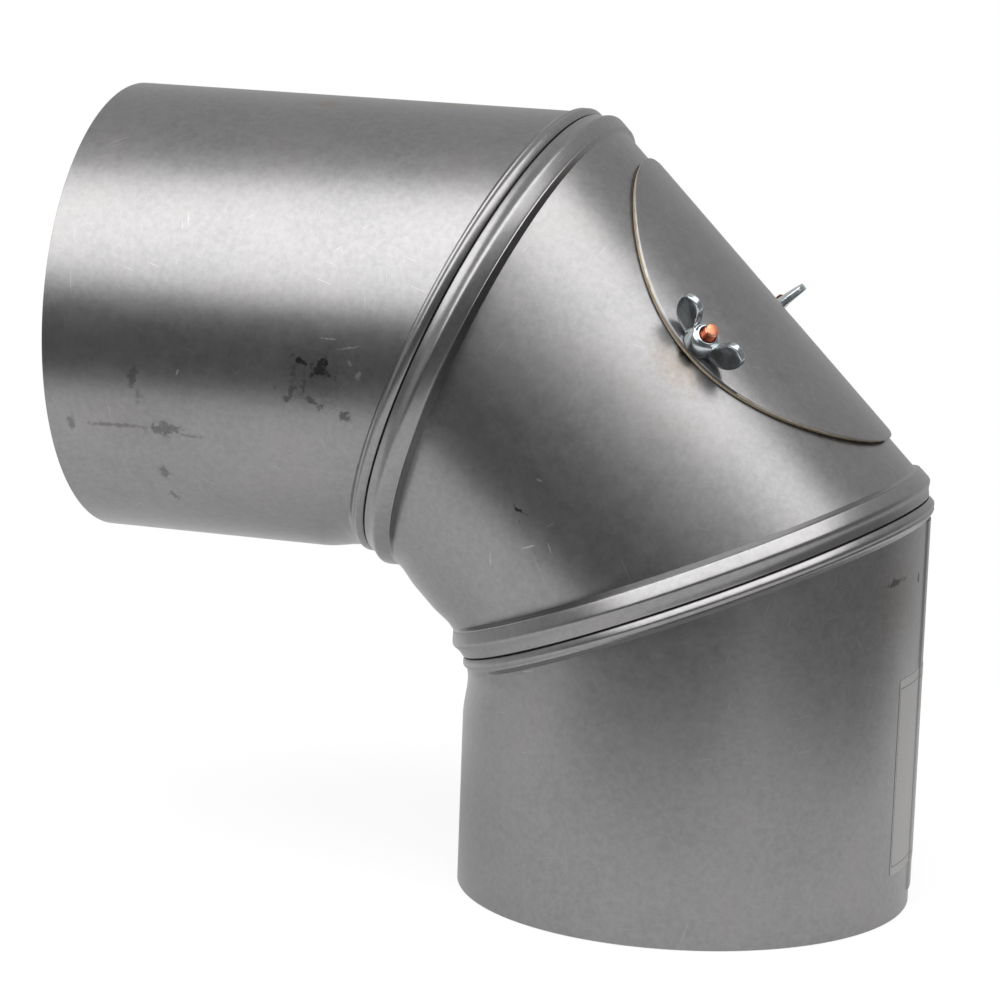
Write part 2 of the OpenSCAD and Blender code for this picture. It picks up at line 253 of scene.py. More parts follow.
class PipeEnd:
    """Mitred end of a pipe piece: its seam ring and how the tube blends into it.
    Ring points are made in the seam's frame, whose +Z looks out of the piece."""

    def __init__(self, length, offset, foot_w, blend, step, flipped=False):
        self.offset, self.foot_w, self.blend, self.step = offset, foot_w, blend, step
        self.side = -1 if flipped else 1
        self.place = (
            Matrix.Translation((0, 0, length))
            @ Matrix.Rotation(-SEAM_TILT, 4, "Y")
            @ Matrix.Translation((-SEAM_SHIFT, 0, offset))
        )
        if flipped:
            self.place = Matrix.Rotation(math.pi, 4, "X") @ self.place

    def circle(self, r, w):
        return moved(level_ring(w, r, self.side * ANGLES), self.place)

    def outline(self, d, inset, angles=ANGLES):
        """Where the sheet runs at distance d from the bead's foot."""
        a = self.side * angles
        axis_x = SEAM_SHIFT - (self.foot_w + d - self.offset) * math.tan(SEAM_TILT)
        tube_x = axis_x + (PIPE_R - inset) / math.cos(SEAM_TILT) * np.cos(a)
        tube_y = (PIPE_R - inset) * np.sin(a)
        ring_x, ring_y = (FOOT_R - inset) * np.cos(a), (FOOT_R - inset) * np.sin(a)
        rise = np.hypot(ring_x, ring_y) - np.hypot(tube_x, tube_y)
        near = np.clip(1 - d / self.step, 0, 1)
        flare = mix(near, smooth(near), 0.4)
        neck = np.clip(1 - d / self.blend, 0, 1) ** 2
        stands_out = smooth(np.clip(rise / RISE_SPAN + 0.5, 0, 1))
        k = mix(neck, flare, stands_out)
        x, y = mix(tube_x, ring_x, k), mix(tube_y, ring_y, k)
        shift = inset * np.tan(np.arctan(np.maximum(rise, 0) / self.step) / 2)
        w = -self.foot_w - d + np.where(d <= self.step, shift, 0)
        return moved(np.stack([x, y, w], 1), self.place)

    def blend_outlines(self, inset):
        """Outlines from the plain tube up to just below the bead's foot."""
        step = np.array([1.0, 0.94, 0.85, 0.7, 0.5, 0.3, 0.15, 0.06, 0.01]) * self.step
        tube = self.step + (self.blend - self.step) * np.linspace(1, 0, 13)[:-1] ** 1.3
        corner = [self.step + 0.7, self.step + 0.12]
        return [self.outline(d, inset) for d in np.concatenate([tube[:-1], corner, step])]


def rounded_steps(points, share, steps):
    """Path through the given points with each inner corner rounded over a share of its sides."""
    p = np.array(points, float)
    found = [p[0]]
    for before, here, after in zip(p[:-2], p[1:-1], p[2:]):
        start, end = mix(here, before, share), mix(here, after, share)
        for t in np.linspace(0, 1, steps):
            found.append(mix(mix(start, here, t), mix(here, end, t), t))
    return np.array(found + [p[-1]])


def small_bead_path():
    """Small bead of an end pipe, then the hidden collar and its flange, going up."""
    foot_w = 0.88 * SMALL_BEAD_W
    flange_w = 0.6 * LARGE_BEAD_W + 0.4
    bead = rounded_steps([
        [FOOT_R, -foot_w - 0.1], [FOOT_R, -foot_w], [FOOT_R + 0.69 * SMALL_BEAD_H, -foot_w + 0.85],
        [FOOT_R + 0.76 * SMALL_BEAD_H, -foot_w + 1.65], [FOOT_R - 0.1, -GAP_W - 0.15],
        [COLLAR_R + 0.25, -GAP_W], [COLLAR_R, 0.0],
    ], BEAD_ROUNDING, 6)
    flange = [
        [mix(COLLAR_R, FLANGE_R, (1 - math.cos(math.pi * k)) / 2), flange_w - 0.8 - 1.6 * (1 - k)]
        for k in np.linspace(0, 1, 8)
    ]
    return np.array(bead.tolist() + flange + [[FLANGE_R, flange_w]])


def large_bead_path():
    """Large bead of the middle segment from its foot up to the lip beside the open gap."""
    crest_r = CREST_R - 0.02
    foot_w, top_w, fall_w, lip_w = (share * LARGE_BEAD_W for share in (1.0, 0.54, 0.43, 0.25))
    return rounded_steps([
        [FOOT_R, -foot_w + 0.1], [FOOT_R, -foot_w + 0.3], [FOOT_R + 0.3, -foot_w + 0.75],
        [crest_r - 0.3, -top_w - 0.75], [crest_r, -top_w + 0.2], [crest_r - 0.2, -fall_w],
        [LIP_R + 0.55, -lip_w], [LIP_R + 0.05, -0.3], [LIP_R - 0.07, 0.0],
    ], BEAD_ROUNDING, 7)


def tube_rings(low, high, shares):
    """Rings between two outlines of one tube, at the given shares of the way."""
    return [mix(low, high, k) for k in shares]


def end_pipe_skin(end, inset):
    """Rings of one side of an end pipe's sheet, from the open rim up to the hidden flange."""
    rim_round = 0.12
    edge = 1 if inset == 0 else -1
    rim = [level_ring(0, PIPE_R - inset - edge * rim_round), level_ring(rim_round, PIPE_R - inset)]
    shares = [0.004, 0.02, 0.1, 0.25, 0.4, 0.55, 0.7, 0.85, 0.95, 0.99]
    tube = tube_rings(rim[1], end.outline(PIPE_BLEND, inset), shares)
    bead = [end.circle(r, w) for r, w in offset_path(small_bead_path(), inset)]
    return rim + tube + end.blend_outlines(inset) + bead


def end_pipe(name, length, place):
    """Sheet of an end pipe as one closed solid."""
    end = PipeEnd(length, -GAP_OFFSET, SMALL_BEAD_W, PIPE_BLEND, PIPE_STEP)
    rings = end_pipe_skin(end, 0.0) + end_pipe_skin(end, SHEET_T)[::-1]
    return new_piece(name, np.concatenate(rings), ring_faces(len(rings), RING_STEPS, True), place)


def middle_skin(ends, inset):
    """Rings of one side of the middle segment's sheet, from its lower lip to its upper lip."""
    halves = []
    for end in ends:
        bead = [end.circle(r, w) for r, w in offset_path(large_bead_path(), inset)]
        halves.append(end.blend_outlines(inset) + bead)
    lower, upper = halves
    tube = tube_rings(lower[0], upper[0], np.linspace(0, 1, 22)[1:-1])
    return lower[::-1] + tube + upper


def oval_prism(name, length, width):
    """Solid oval through the outer side of the middle segment."""
    steps = 256
    a = np.linspace(0, 2 * math.pi, steps, endpoint=False)
    rings = [
        np.stack([np.full_like(a, x), width / 2 * np.sin(a), length / 2 * np.cos(a)], 1)
        for x in (PIPE_R / 2, 1.5 * PIPE_R)
    ]
    piece = new_piece(name, np.concatenate(rings), capped_faces(2, steps), HATCH_PLACE)
    piece.data.flip_normals()
    return piece


def middle_segment():
    """Middle segment with a large bead at each end and the oval cleaning opening."""
    ends = [
        PipeEnd(MIDDLE_LEN / 2, GAP_OFFSET, LARGE_BEAD_W, MIDDLE_BLEND, MIDDLE_STEP, flipped)
        for flipped in (True, False)
    ]
    rings = middle_skin(ends, 0.0) + middle_skin(ends, SHEET_T)[::-1]
    faces = ring_faces(len(rings), RING_STEPS, True)
    piece = new_piece("middle_sheet", np.concatenate(rings), faces, MIDDLE_PLACE)
    opening = oval_prism("opening", LID_LEN - 2 * LID_OVERLAP, LID_W - 2 * LID_OVERLAP)
    return cut(piece, opening)


def lap_layer(name, length, start_deg, place):
    """Upper layer of the lapped sheet: one sheared edge, and a long taper on its far side."""
    taper = math.degrees(LAP_TAPER / PIPE_R)
    width = math.degrees(LAP_W / PIPE_R)
    across = [(-1.0, -0.3), (-0.98, 0.02), (-0.6, 0.3 * SHEET_T), (-0.25, 0.75 * SHEET_T)]
    across += [(0.05, SHEET_T - 0.02), (0.4, SHEET_T)]
    across += [(k * width, SHEET_T) for k in (0.2, 0.4, 0.6, 0.8, 1.0)]
    across += [(width + k * taper, SHEET_T * (1 + math.cos(math.pi * k)) / 2)
               for k in (0.15, 0.3, 0.45, 0.6, 0.75, 0.9)]
    across += [(width + taper, -0.3)]
    angles = np.radians(np.array([start_deg + a for a, _ in across]))
    heights = np.array([h for _, h in across])
    end = PipeEnd(length, -GAP_OFFSET, SMALL_BEAD_W, PIPE_BLEND, PIPE_STEP)
    top = end.outline(PIPE_STEP + 0.5, -heights, angles)
    bottom = level_ring(LAP_RIM_GAP, PIPE_R + heights, angles)
    rows = tube_rings(bottom, top, (0, 0.01, 0.33, 0.66, 0.99, 1))
    return new_piece(name, np.concatenate(rows), capped_faces(len(rows), len(across)), place)


# Hatch

def curved_point_rings(shares, r, length, width, angles):
    """Rings of an oval laid on a cylinder of radius r round the middle segment's axis."""
    found = []
    for share in shares:
        y = width / 2 * share * np.sin(angles)
        z = length / 2 * share * np.cos(angles)
        found.append(np.stack([np.sqrt(r * r - y * y), y, z], 1))
    return found


def stud_slots(name, r):
    """Solid slots, open to the side, that clear the two studs."""
    points, faces = [], []
    centre_y = LID_OUT_R * math.sin(STUD_ANGLE) - STUD_D / 2 * (1 / math.cos(STUD_ANGLE) - 1)
    for side in (-1, 1):
        round_end = np.linspace(-math.pi / 2, math.pi / 2, 24)
        outline = [(side * (centre_y - r * math.cos(a)), r * math.sin(a)) for a in round_end]
        outline += [(side * LID_W, r), (side * LID_W, -r)]
        base, n = len(points), len(outline)
        for x in (0.3 * PIPE_R, 1.5 * PIPE_R):
            points += [(x, y, z) for y, z in outline]
        walls, low, high = prism_faces(base, n)
        made = walls + [low, high]
        faces += made if side < 0 else [f[::-1] for f in made]
    piece = new_piece(name, points, faces, HATCH_PLACE)
    piece.data.flip_normals()
    return piece


def hatch_lid(sheet, edge):
    """Curved oval lid with a sheared edge, notched for the studs."""
    angles = np.linspace(0, 2 * math.pi, 360, endpoint=False)
    shares = [0.01, 0.1, 0.2, 0.3, 0.4, 0.5, 0.6, 0.7, 0.8, 0.88, 0.94, 0.98, 0.992]
    top = curved_point_rings(shares, LID_OUT_R, LID_LEN, LID_W, angles)
    bottom = curved_point_rings(shares, LID_IN_R, LID_LEN, LID_W, angles)
    chamfer, pull = 0.08, -0.1
    profile = [(LID_OUT_R, pull), (LID_OUT_R - chamfer, 0.0), (LID_IN_R + chamfer, 0.0), (LID_IN_R, pull)]
    rim = []
    for r, reach in profile:
        rim += curved_point_rings([1], r, LID_LEN + 2 * reach, LID_W + 2 * reach, angles)
    rings = top + rim + bottom[::-1]
    faces = [f[::-1] for f in capped_faces(len(rings), len(angles))]
    piece = new_piece("lid_sheet", np.concatenate(rings), faces, HATCH_PLACE)
    cut(piece, stud_slots("lid_slots", NOTCH_R))
    piece.data.materials.clear()
    piece.data.materials.append(sheet)
    piece.data.materials.append(edge)
    dress_lid_edge(piece)
    return piece


def dress_lid_edge(piece):
    """Gives the second material to the faces that look along the sheet and not off it."""
    side_on = 0.6
    inward = Matrix.Rotation(BEND / 2, 3, "Y")
    for face in piece.data.polygons:
        n = inward @ face.normal
        c = inward @ (face.center / MM - MIDDLE_CENTRE)
        facing = Vector((c.x, c.y, 0)).normalized().dot(n)
        if abs(facing) < side_on:
            face.material_index = 1


def hatch_seal():
    """Flat fibre band under the lid."""
    angles = np.linspace(0, 2 * math.pi, 240, endpoint=False)
    in_r, out_r = PIPE_R + SEAL_GAP, PIPE_R + SEAL_GAP + SEAL_T
    outer = (LID_LEN - 2 * SEAL_INSET, LID_W - 2 * SEAL_INSET)
    inner = (LID_LEN - 2 * LID_OVERLAP + 2 * SEAL_INSET, LID_W - 2 * LID_OVERLAP + 2 * SEAL_INSET)
    rings = []
    for r, shares in ((out_r, np.linspace(0, 1, 9)), (in_r, np.linspace(1, 0, 9))):
        for k in shares:
            length, width = mix(inner[0], outer[0], k), mix(inner[1], outer[1], k)
            rings += curved_point_rings([1], r, length, width, angles)
    faces = [f[::-1] for f in ring_faces(len(rings), len(angles), True)]
    piece = new_piece("seal_band", np.concatenate(rings), faces, HATCH_PLACE)
    return cut(piece, stud_slots("seal_slots", STUD_FLANGE_D / 2 + 0.75))


# Studs and wing nuts

def stud_place(side):
    """Frame on the pipe's surface at a stud: +Z out of the pipe, +X along its axis."""
    return (
        HATCH_PLACE
        @ Matrix.Rotation(side * STUD_ANGLE, 4, "Z")
        @ Matrix.Translation((PIPE_R, 0, 0))
        @ Matrix.Rotation(math.pi / 2, 4, "Y")
        @ Matrix.Rotation(math.pi, 4, "Z")
    )


def weld_stud(name, side):
    """Threaded weld stud on its flange, with a chamfered tip."""
    steps = 64
    a = np.linspace(0, 2 * math.pi, steps, endpoint=False)
    r, flange_r = STUD_D / 2, STUD_FLANGE_D / 2
    sunk, run_in, row_gap = 0.45, 0.5, 0.08
    rings = [
        level_ring(-sunk, flange_r, a),
        level_ring(STUD_FLANGE_H - 0.2, flange_r, a),
        level_ring(STUD_FLANGE_H, flange_r - 0.25, a),
        level_ring(STUD_FLANGE_H + 0.05, r - THREAD_DEPTH, a),
    ]
    tip = STUD_TIP - 0.5
    for z in np.arange(STUD_FLANGE_H + run_in, STUD_TIP - 0.02, row_gap):
        turn = (z / THREAD_PITCH - a / (2 * math.pi)) % 1
        thread = THREAD_DEPTH * np.clip(np.abs(2 * turn - 1) * 1.25, 0, 1)
        fade = np.clip((z - STUD_FLANGE_H - run_in) / 1.2, 0, 1)
        limit = r - 0.05 - 0.9 * max(0.0, z - tip)
        rings.append(level_ring(z, np.minimum(r - thread * fade - 0.02, limit), a))
    rings.append(level_ring(STUD_TIP, r - 0.55, a))
    rings.append(level_ring(STUD_TIP, 0.3, a))
    faces = capped_faces(len(rings), steps)
    return new_piece(name, np.concatenate(rings), faces, stud_place(side), sharp=30)


def hub_path():
    """Outline of the wing nut's hub from the seat up to its rounded top, as [radius, height]."""
    wall_h, top_r = 0.2 * HUB_H, HUB_TOP_D / 2
    side_r = HUB_D / 2 + 0.3
    path = [[0.0, 0.0], [HUB_D / 2 - 0.3, 0.0], [HUB_D / 2 + 0.1, 0.4], [side_r, wall_h]]
    path += [[mix(top_r, side_r, math.cos(a)), mix(wall_h, HUB_H - 0.5, math.sin(a))]
             for a in np.linspace(0.15, math.pi / 2, 9)]
    return path + [[top_r - 0.15, HUB_H - 0.12], [top_r - 0.5, HUB_H], [0.0, HUB_H]]


def revolved(path):
    """Points and faces of a solid turned round +Z, whose path starts and ends on the axis."""
    steps = 96
    a = np.linspace(0, 2 * math.pi, steps, endpoint=False)
    rings = [level_ring(z, max(r, 0.01), a) for r, z in path]
    return np.concatenate(rings), capped_faces(len(rings), steps)


def smooth_loop(corners, steps):
    """Closed curve through the corners, with steps points from each corner to the next."""
    p = np.array(corners, float)
    before, after, far = np.roll(p, 1, 0), np.roll(p, -1, 0), np.roll(p, -2, 0)
    found = []
    for i in range(len(p)):
        for t in np.arange(steps) / steps:
            a = 2 * p[i] + (after[i] - before[i]) * t
            b = (2 * before[i] - 5 * p[i] + 4 * after[i] - far[i]) * t * t
            c = (3 * p[i] - before[i] - 3 * after[i] + far[i]) * t ** 3
            found.append((a + b + c) / 2)
    return np.array(found)


def wing_outline():
    """Edge of one wing as [distance from the axis, height], round the ear and back to the hub."""
    corners = [
        (2.6, 1.2), (6.4, 0.7), (9.6, 1.2), (12.0, 3.2), (13.7, 6.6), (14.2, 9.8), (13.2, 12.4),
        (11.0, 13.7), (8.9, 13.8), (7.3, 12.7), (6.0, 10.2), (5.0, 7.6), (4.2, 5.9), (2.6, 5.2),
    ]
    return smooth_loop(corners, 5)


def nut_blank():
    """Points and faces of the hub and the two wings, which overlap and are grown together later."""
    hub, faces = revolved(hub_path())
    points = list(map(tuple, hub))
    outline = wing_outline()
    for flip in (1, -1):
        base = len(points)
        for y_side in (-1, 1):
            for u, s in outline:
                half = mix(2.2, 1.15, np.clip((u - 3.6) / 4.4, 0, 1))
                points.append((flip * u, y_side * half, s))
        walls, front, back = prism_faces(base, len(outline))
        made = [front, back] + walls
        faces += made if flip > 0 else [f[::-1] for f in made]
    return points, faces


def wing_nut(name, side, turn):
    """Forged wing nut: hub and wings grown together with soft fillets, then bored."""
    place = (
        stud_place(side)
        @ Matrix.Translation((0, 0, NUT_SEAT))
        @ Matrix.Rotation(math.radians(turn), 4, "Z")
    )
    piece = new_piece(name, *nut_blank(), place)
    grow = piece.modifiers.new("grow", "REMESH")
    grow.mode = "VOXEL"
    grow.voxel_size = 0.24 * MM
    fillet = piece.modifiers.new("fillet", "SMOOTH")
    fillet.factor = 0.5
    fillet.iterations = 9
    bake_modifiers(piece)
    bore = [
        [0.0, -2.0], [NUT_BORE_R, -2.0], [NUT_BORE_R, HUB_H - 0.6],
        [NUT_BORE_R + 0.6, HUB_H], [NUT_BORE_R + 1.0, HUB_H + 0.4], [0.0, HUB_H + 0.4],
    ]
    cut(piece, new_piece(name + "_bore", *revolved(bore), place))
    piece.data.shade_smooth()
    piece.data.set_sharp_from_angle(angle=math.radians(38))
    return piece


# Blank sticker

def sticker_rows():
    """Heights of the sticker's rows of points, which lie close in its rounded corners."""
    low = LABEL_LOW + LABEL_CORNER * (1 - np.cos(np.linspace(0, math.pi / 2, 7)))
    high = LABEL_HIGH - LABEL_CORNER * (1 - np.cos(np.linspace(math.pi / 2, 0, 7)))
    return np.concatenate([low, high])


def sticker_columns():
    """Places of its columns as shares of its width, with two where it climbs the lap's edge."""
    width = LABEL_RIGHT - LABEL_LEFT
    climb = [(LOWER_LAP_ANGLE - LAP_STEP - LABEL_LEFT) / width, (LOWER_LAP_ANGLE - LABEL_LEFT) / width]
    return np.sort(np.concatenate([np.linspace(0, 1, 15), climb]))


def sticker_row(z, height, columns):
    """Points across the sticker at height z up the pipe and at height over its underside."""
    from_end = min(z - LABEL_LOW, LABEL_HIGH - z)
    in_corner = max(0.0, LABEL_CORNER - from_end)
    pull = LABEL_CORNER - math.sqrt(max(0.0, LABEL_CORNER ** 2 - in_corner ** 2))
    pull = math.degrees(pull / PIPE_R)
    a = mix(LABEL_LEFT + pull, LABEL_RIGHT - pull, columns)
    on_lap = np.clip((a - LOWER_LAP_ANGLE + LAP_STEP) / LAP_STEP, 0, 1)
    return level_ring(z, PIPE_R + LABEL_RISE + height + SHEET_T * on_lap, np.radians(a))


def grid_edge(across, down):
    """Points of a grid, as row * across + column, in order round its edge."""
    edge = list(range(across)) + [r * across + across - 1 for r in range(1, down)]
    edge += [(down - 1) * across + c for c in range(across - 2, -1, -1)]
    return edge + [r * across for r in range(down - 2, 0, -1)]


def plate_faces(across, down):
    """Faces of a thin plate: a grid of points for its underside, then one for its top."""
    faces = []
    top = across * down
    for base, flip in ((0, True), (top, False)):
        for r in range(down - 1):
            for c in range(across - 1):
                i = base + r * across + c
                quad = (i, i + 1, i + across + 1, i + across)
                faces.append(quad[::-1] if flip else quad)
    edge = grid_edge(across, down)
    for a, b in zip(edge, edge[1:] + edge[:1]):
        faces.append((a, b, b + top, a + top))
    return faces


def sticker():
    """Thin blank label on the lower pipe, laid over the edge of the lap."""
    rows, columns = sticker_rows(), sticker_columns()
    skins = [sticker_row(z, height, columns) for height in (0.0, LABEL_T) for z in rows]
    return new_piece("blank_label", np.concatenate(skins), plate_faces(len(columns), len(rows)))


# Materials

SHEET_TONE = (0.2655, 0.2615, 0.2645)
SCRATCH = (0.55, 0.54, 0.54, 1)
RUBBED = (0.6, 0.6, 0.59, 1)
SMUDGE = (0.02, 0.019, 0.018, 1)


class Nodes:
    """Node tree under construction, with short ways to add and join nodes."""

    def __init__(self, tree):
        self.tree = tree
        self.tree.nodes.clear()

    def add(self, kind, inputs=None, **settings):
        made = self.tree.nodes.new(kind)
        for key, value in settings.items():
            setattr(made, key, value)
        for key, value in (inputs or {}).items():
            self.put(made.inputs[key], value)
        return made

    def put(self, socket, value):
        if isinstance(value, bpy.types.NodeSocket):
            self.tree.links.new(value, socket)
        else:
            socket.default_value = value

    def math(self, operation, a, b=0.0):
        return self.add("ShaderNodeMath", {0: a, 1: b}, operation=operation).outputs[0]

    def length(self, x, y):
        """Length of the vector (x, y)."""
        squares = [self.math("MULTIPLY", v, v) for v in (x, y)]
        return self.math("SQRT", self.math("ADD", *squares))

    def ramp(self, value, low, high, to_low=0.0, to_high=1.0):
        """Value stretched from low..high to to_low..to_high with soft ends."""
        return self.add(
            "ShaderNodeMapRange",
            {"Value": value, "From Min": low, "From Max": high, "To Min": to_low, "To Max": to_high},
            interpolation_type="SMOOTHSTEP",
        ).outputs[0]

    def blend(self, share, a, b):
        made = self.add("ShaderNodeMix", {0: share, 6: a, 7: b}, data_type="RGBA")
        return made.outputs[2]

    def noise(self, vector, scale, detail=3.0, rough=0.55):
        inputs = {"Vector": vector, "Scale": scale, "Detail": detail, "Roughness": rough}
        return self.add("ShaderNodeTexNoise", inputs).outputs[0]

    def moved(self, vector, place=(0, 0, 0), turn=(0, 0, 0), size=(1, 1, 1)):
        """Vector seen from a frame at place, turned by turn and as large as size."""
        return self.add(
            "ShaderNodeMapping",
            {"Vector": vector, "Location": place, "Rotation": turn, "Scale": size},
            vector_type="TEXTURE",
        ).outputs[0]

    def split(self, vector):
        return self.add("ShaderNodeSeparateXYZ", {0: vector}).outputs

    def join(self, x, y, z=0.0):
        return self.add("ShaderNodeCombineXYZ", {0: x, 1: y, 2: z}).outputs[0]

    def bump(self, height, distance, strength, normal=None):
        inputs = {"Strength": strength, "Distance": distance, "Height": height}
        if normal is not None:
            inputs["Normal"] = normal
        return self.add("ShaderNodeBump", inputs).outputs[0]


class Look(Nodes):
    """Material with one principled shader."""

    def __init__(self, name):
        self.material = bpy.data.materials.new(name)
        self.material.use_nodes = True
        super().__init__(self.material.node_tree)
        self.out = self.add("ShaderNodeOutputMaterial")
        self.shader = self.add("ShaderNodeBsdfPrincipled")
        self.tree.links.new(self.shader.outputs[0], self.out.inputs["Surface"])

    def finish(self, colour, metallic, rough, normal):
        """Gives the shader its colour, metal share, roughness and normal, and returns the material."""
        values = {"Base Color": colour, "Metallic": metallic, "Roughness": rough, "Normal": normal}
        for key, value in values.items():
            self.put(self.shader.inputs[key], value)
        return self.material


def place_inputs(place):
    """Location in metres and rotation of a piece's frame, for a mapping node."""
    return tuple(v * MM for v in place.to_translation()), tuple(place.to_euler("XYZ"))


def unrolled(look, place):
    """Vector over the sheet as if unrolled, in millimetres: round the pipe, along it, off it."""
    coords = look.add("ShaderNodeTexCoord").outputs["Object"]
    location, rotation = place_inputs(place)
    x, y, z = look.split(look.moved(coords, location, rotation, (MM, MM, MM)))
    angle = look.math("ARCTAN2", y, x)
    return look.join(look.math("MULTIPLY", angle, PIPE_R), z, look.length(x, y))


def spot(look, surface, ragged, angle, along, size, turn, soft=0.6):
    """Mask of a ragged oval mark; angle in degrees round the pipe, the rest in millimetres."""
    centre = (math.radians(angle) * PIPE_R, along, PIPE_R)
    local = look.moved(surface, centre, (0, 0, math.radians(turn)), (size[0], size[1], 1000.0))
    length = look.add("ShaderNodeVectorMath", {0: local}, operation="LENGTH").outputs["Value"]
    return look.ramp(look.math("ADD", length, ragged), 1.0, 1.0 - soft)


def mill_shade(look, blotch, cloud, mottle, grain):
    """Factor near 1 for the sheet's tone, from its noises, coarse to fine."""
    shade = look.ramp(blotch, 0.3, 0.7, -0.03, 0.03)
    shade = look.math("ADD", shade, look.ramp(cloud, 0.3, 0.7, -0.025, 0.025))
    shade = look.math("ADD", shade, look.ramp(grain, 0.25, 0.75, -0.045, 0.045))
    return look.math("ADD", look.math("ADD", shade, 1.0), look.ramp(mottle, 0.25, 0.75, -0.085, 0.085))


def scratched(look, shifted, colour):
    """Colour with three sets of fine bright scratches, which come in patches."""
    for turn, cells in ((0.15, 0.55), (1.25, 0.5), (2.2, 0.6)):
        combed = look.moved(shifted, (turn * 31, 0, 0), (0, 0, turn), (15.0, 0.5, 40.0))
        lines = look.noise(combed, 1.0, 1.5)
        patches = look.noise(look.moved(shifted, (0, turn * 57, 0)), 0.09 * cells, 1.0)
        scratch = look.math("MULTIPLY", look.ramp(lines, 0.7, 0.76), look.ramp(patches, 0.52, 0.64))
        colour = look.blend(look.math("MULTIPLY", scratch, 0.4), colour, SCRATCH)
    return colour


def marked(look, surface, ragged, colour, rough, marks, tints_and_shade, lights):
    """Colour and roughness under rubbed spots, tinted patches (stains, and on the middle segment also
    painted shade beside the front stud) and dull dark smudges, in that order.
    """
    for angle, along, size, turn, share in lights:
        mask = spot(look, surface, ragged, angle, along, size, turn, 0.5)
        colour = look.blend(look.math("MULTIPLY", mask, share), colour, RUBBED)
    # Tinted patches are stains; the middle segment's dark spot by the front stud is a burn mark with
    # painted shade from the notch under the hub
    for angle, along, size, turn, share, dirt_and_shade in tints_and_shade:
        mask = spot(look, surface, look.math("MULTIPLY", ragged, 0.5), angle, along, size, turn, 0.9)
        colour = look.blend(look.math("MULTIPLY", mask, share), colour, (*dirt_and_shade, 1))
    for angle, along, size, turn, share in marks:
        mask = look.math("MULTIPLY", spot(look, surface, ragged, angle, along, size, turn), share)
        colour = look.blend(mask, colour, SMUDGE)
        rough = look.math("ADD", rough, look.math("MULTIPLY", mask, 0.2))
    return colour, rough


def sheet_look(name, place, seed, marks=(), tints_and_shade=(), lights=()):
    """Dull aluminised steel: rolled grain, faint blotches, fine scratches, smudges and tinted stains; on
    the middle segment one dark spot beside the front stud is also painted shade.
    """
    look = Look(name)
    surface = unrolled(look, place)
    shifted = look.moved(surface, (seed, seed * 0.7, 0))
    blotch = look.noise(shifted, 0.035, 3.0)
    cloud = look.noise(shifted, 0.16, 4.0, 0.6)
    mottle = look.noise(shifted, 0.45, 4.0, 0.7)
    grain = look.noise(look.moved(shifted, size=(2.6, 1.0, 1.0)), 2.2, 3.0, 0.7)

    shade = mill_shade(look, blotch, cloud, mottle, grain)
    colour = look.add("ShaderNodeVectorMath", {0: SHEET_TONE, 3: shade}, operation="SCALE").outputs[0]
    warmer = (*[t * f for t, f in zip(SHEET_TONE, (1.03, 1.0, 0.93))], 1)
    colour = look.blend(look.ramp(blotch, 0.35, 0.75, 0.0, 0.25), colour, warmer)
    rough = look.ramp(cloud, 0.25, 0.75, 0.305, 0.34)
    rough = look.math("ADD", rough, look.ramp(grain, 0.3, 0.8, -0.01, 0.02))

    colour = scratched(look, shifted, colour)
    ragged = look.ramp(look.noise(shifted, 0.55, 4.0, 0.65), 0.2, 0.8, -0.75, 0.75)
    colour, rough = marked(look, surface, ragged, colour, rough, marks, tints_and_shade, lights)
    waves = look.bump(mottle, 0.04 * MM, 0.5, look.bump(blotch, 0.2 * MM, 0.3))
    return look.finish(colour, 1.0, rough, look.bump(grain, 0.012 * MM, 0.5, waves))


def cut_edge_look():
    """Sheared edge of the lid: bright, rough and browned in places."""
    look = Look("lid_cut_edge")
    coords = look.add("ShaderNodeTexCoord").outputs["Object"]
    patches = look.noise(coords, 260.0, 4.0, 0.7)
    colour = look.blend(look.ramp(patches, 0.35, 0.7), (0.52, 0.49, 0.43, 1), (0.34, 0.29, 0.22, 1))
    return look.finish(colour, 0.6, 0.5, look.bump(look.noise(coords, 1500.0), 0.05 * MM, 0.5))


def seal_look():
    """Woven fibre band, browned by heat."""
    look = Look("seal_fibre")
    coords = look.add("ShaderNodeTexCoord").outputs["Object"]
    weave = look.add("ShaderNodeTexWave", {"Vector": coords, "Scale": 420.0, "Distortion": 1.5}).outputs[0]
    stain = look.noise(coords, 60.0, 4.0)
    colour = look.blend(look.ramp(stain, 0.35, 0.65), (0.38, 0.31, 0.22, 1), (0.24, 0.185, 0.12, 1))
    colour = look.blend(look.math("MULTIPLY", weave, 0.35), colour, (0.4, 0.33, 0.23, 1))
    return look.finish(colour, 0.0, 0.9, look.bump(weave, 0.15 * MM, 0.7))


def zinc_look():
    """Bright zinc plate over a forged surface."""
    look = Look("nut_zinc_plate")
    coords = look.add("ShaderNodeTexCoord").outputs["Object"]
    cloud = look.noise(coords, 320.0, 3.0)
    colour = look.blend(look.ramp(cloud, 0.3, 0.7), (0.4, 0.44, 0.46, 1), (0.54, 0.58, 0.6, 1))
    rough = look.ramp(cloud, 0.3, 0.7, 0.16, 0.24)
    return look.finish(colour, 1.0, rough, look.bump(look.noise(coords, 700.0, 2.0), 0.04 * MM, 0.35))


